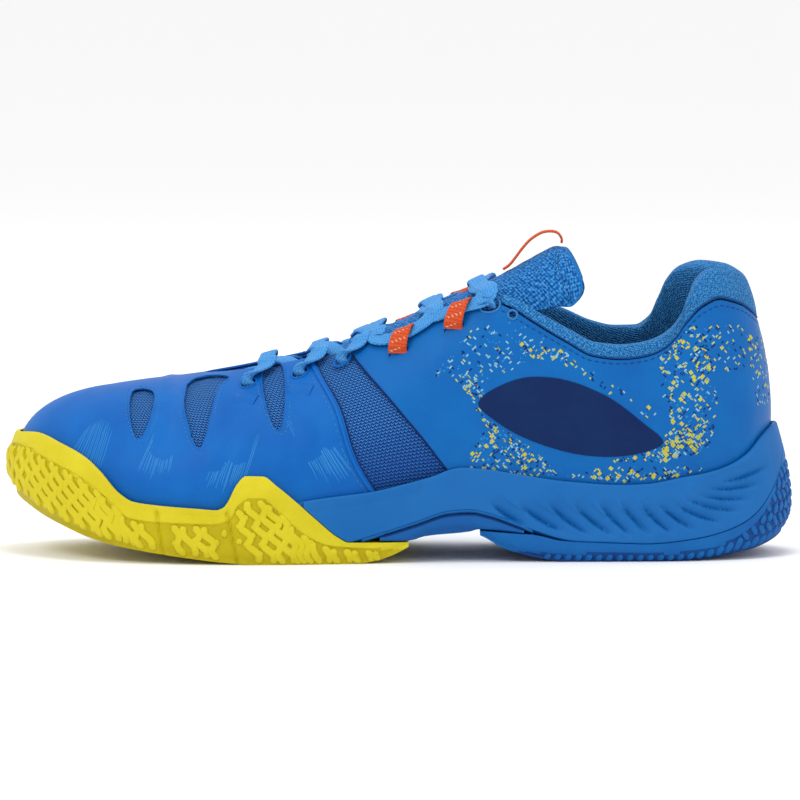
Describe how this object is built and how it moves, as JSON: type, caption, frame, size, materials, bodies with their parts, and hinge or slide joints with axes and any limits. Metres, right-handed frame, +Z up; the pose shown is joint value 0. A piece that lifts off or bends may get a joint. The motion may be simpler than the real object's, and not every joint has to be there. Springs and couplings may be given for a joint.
{
  "type": "court shoe",
  "caption": "Low-cut left court shoe with a wrap-up rubber forefoot sole, foam midsole, knit and film upper, padded collar and tongue, and a laced throat.",
  "frame": {"origin": "on the ground under the middle of the shoe's box", "axes": "+X from toe to heel, +Y to the medial (inner) side, +Z up; the sole rests on z = 0"},
  "size_m": [0.3, 0.1061, 0.123],
  "materials": {
    "upper_overlay": "satin synthetic film",
    "upper_knit": "knit",
    "quarter_film": "satin synthetic film",
    "navy_film": "matte film",
    "midsole_foam": "moulded foam",
    "shank_plastic": "satin moulded plastic",
    "heel_rubber": "moulded rubber",
    "forefoot_rubber": "moulded rubber",
    "collar_mesh": "padded mesh",
    "tongue_mesh": "padded mesh",
    "lace_cloth": "woven",
    "orange_webbing": "woven webbing",
    "board_fibre": "non-woven board",
    "insole_foam": "cloth on foam",
    "stiffener_plastic": "matte"
  },
  "bodies": {
    "shoe": {"midsole": "midsole_foam", "outsole_forefoot": "forefoot_rubber", "outsole_heel": "heel_rubber", "midfoot_shank": "shank_plastic", "upper_knit": "upper_knit", "vamp_overlay": "upper_overlay", "quarter_lateral": "quarter_film", "quarter_medial": "quarter_film", "side_patch_lateral": "navy_film", "side_patch_medial": "navy_film", "collar_padding": "collar_mesh", "tongue_lower": "tongue_mesh", "lace_loop_lateral_1": "orange_webbing", "lace_loop_lateral_2": "orange_webbing", "lace_loop_medial_1": "orange_webbing", "lace_loop_medial_2": "orange_webbing", "lace": "lace_cloth", "strobel_board": "board_fibre", "heel_counter": "stiffener_plastic", "toe_puff": "stiffener_plastic"},
    "tongue_flap": {"tongue_upper": "tongue_mesh"},
    "pull_loop": {"tongue_pull_loop": "orange_webbing"},
    "insole": {"sockliner": "insole_foam"}
  },
  "joints": [
    {"name": "tongue_fold", "type": "hinge", "parent": "shoe", "child": "tongue_flap", "pos_m": [0.0368, 0, 0.1052], "axis": [0, -1, 0], "range_deg": [0, 60]},
    {"name": "pull_loop_lean", "type": "hinge", "parent": "tongue_flap", "child": "pull_loop", "pos_m": [0.0399, 0, 0.1078], "axis": [0.9045, 0, 0.4265], "range_deg": [-14, 14]},
    {"name": "insole_lift", "type": "hinge", "parent": "shoe", "child": "insole", "pos_m": [-0.1385, 0.012, 0.031], "axis": [0, -1, 0], "range_deg": [0, 4]}
  ]
}
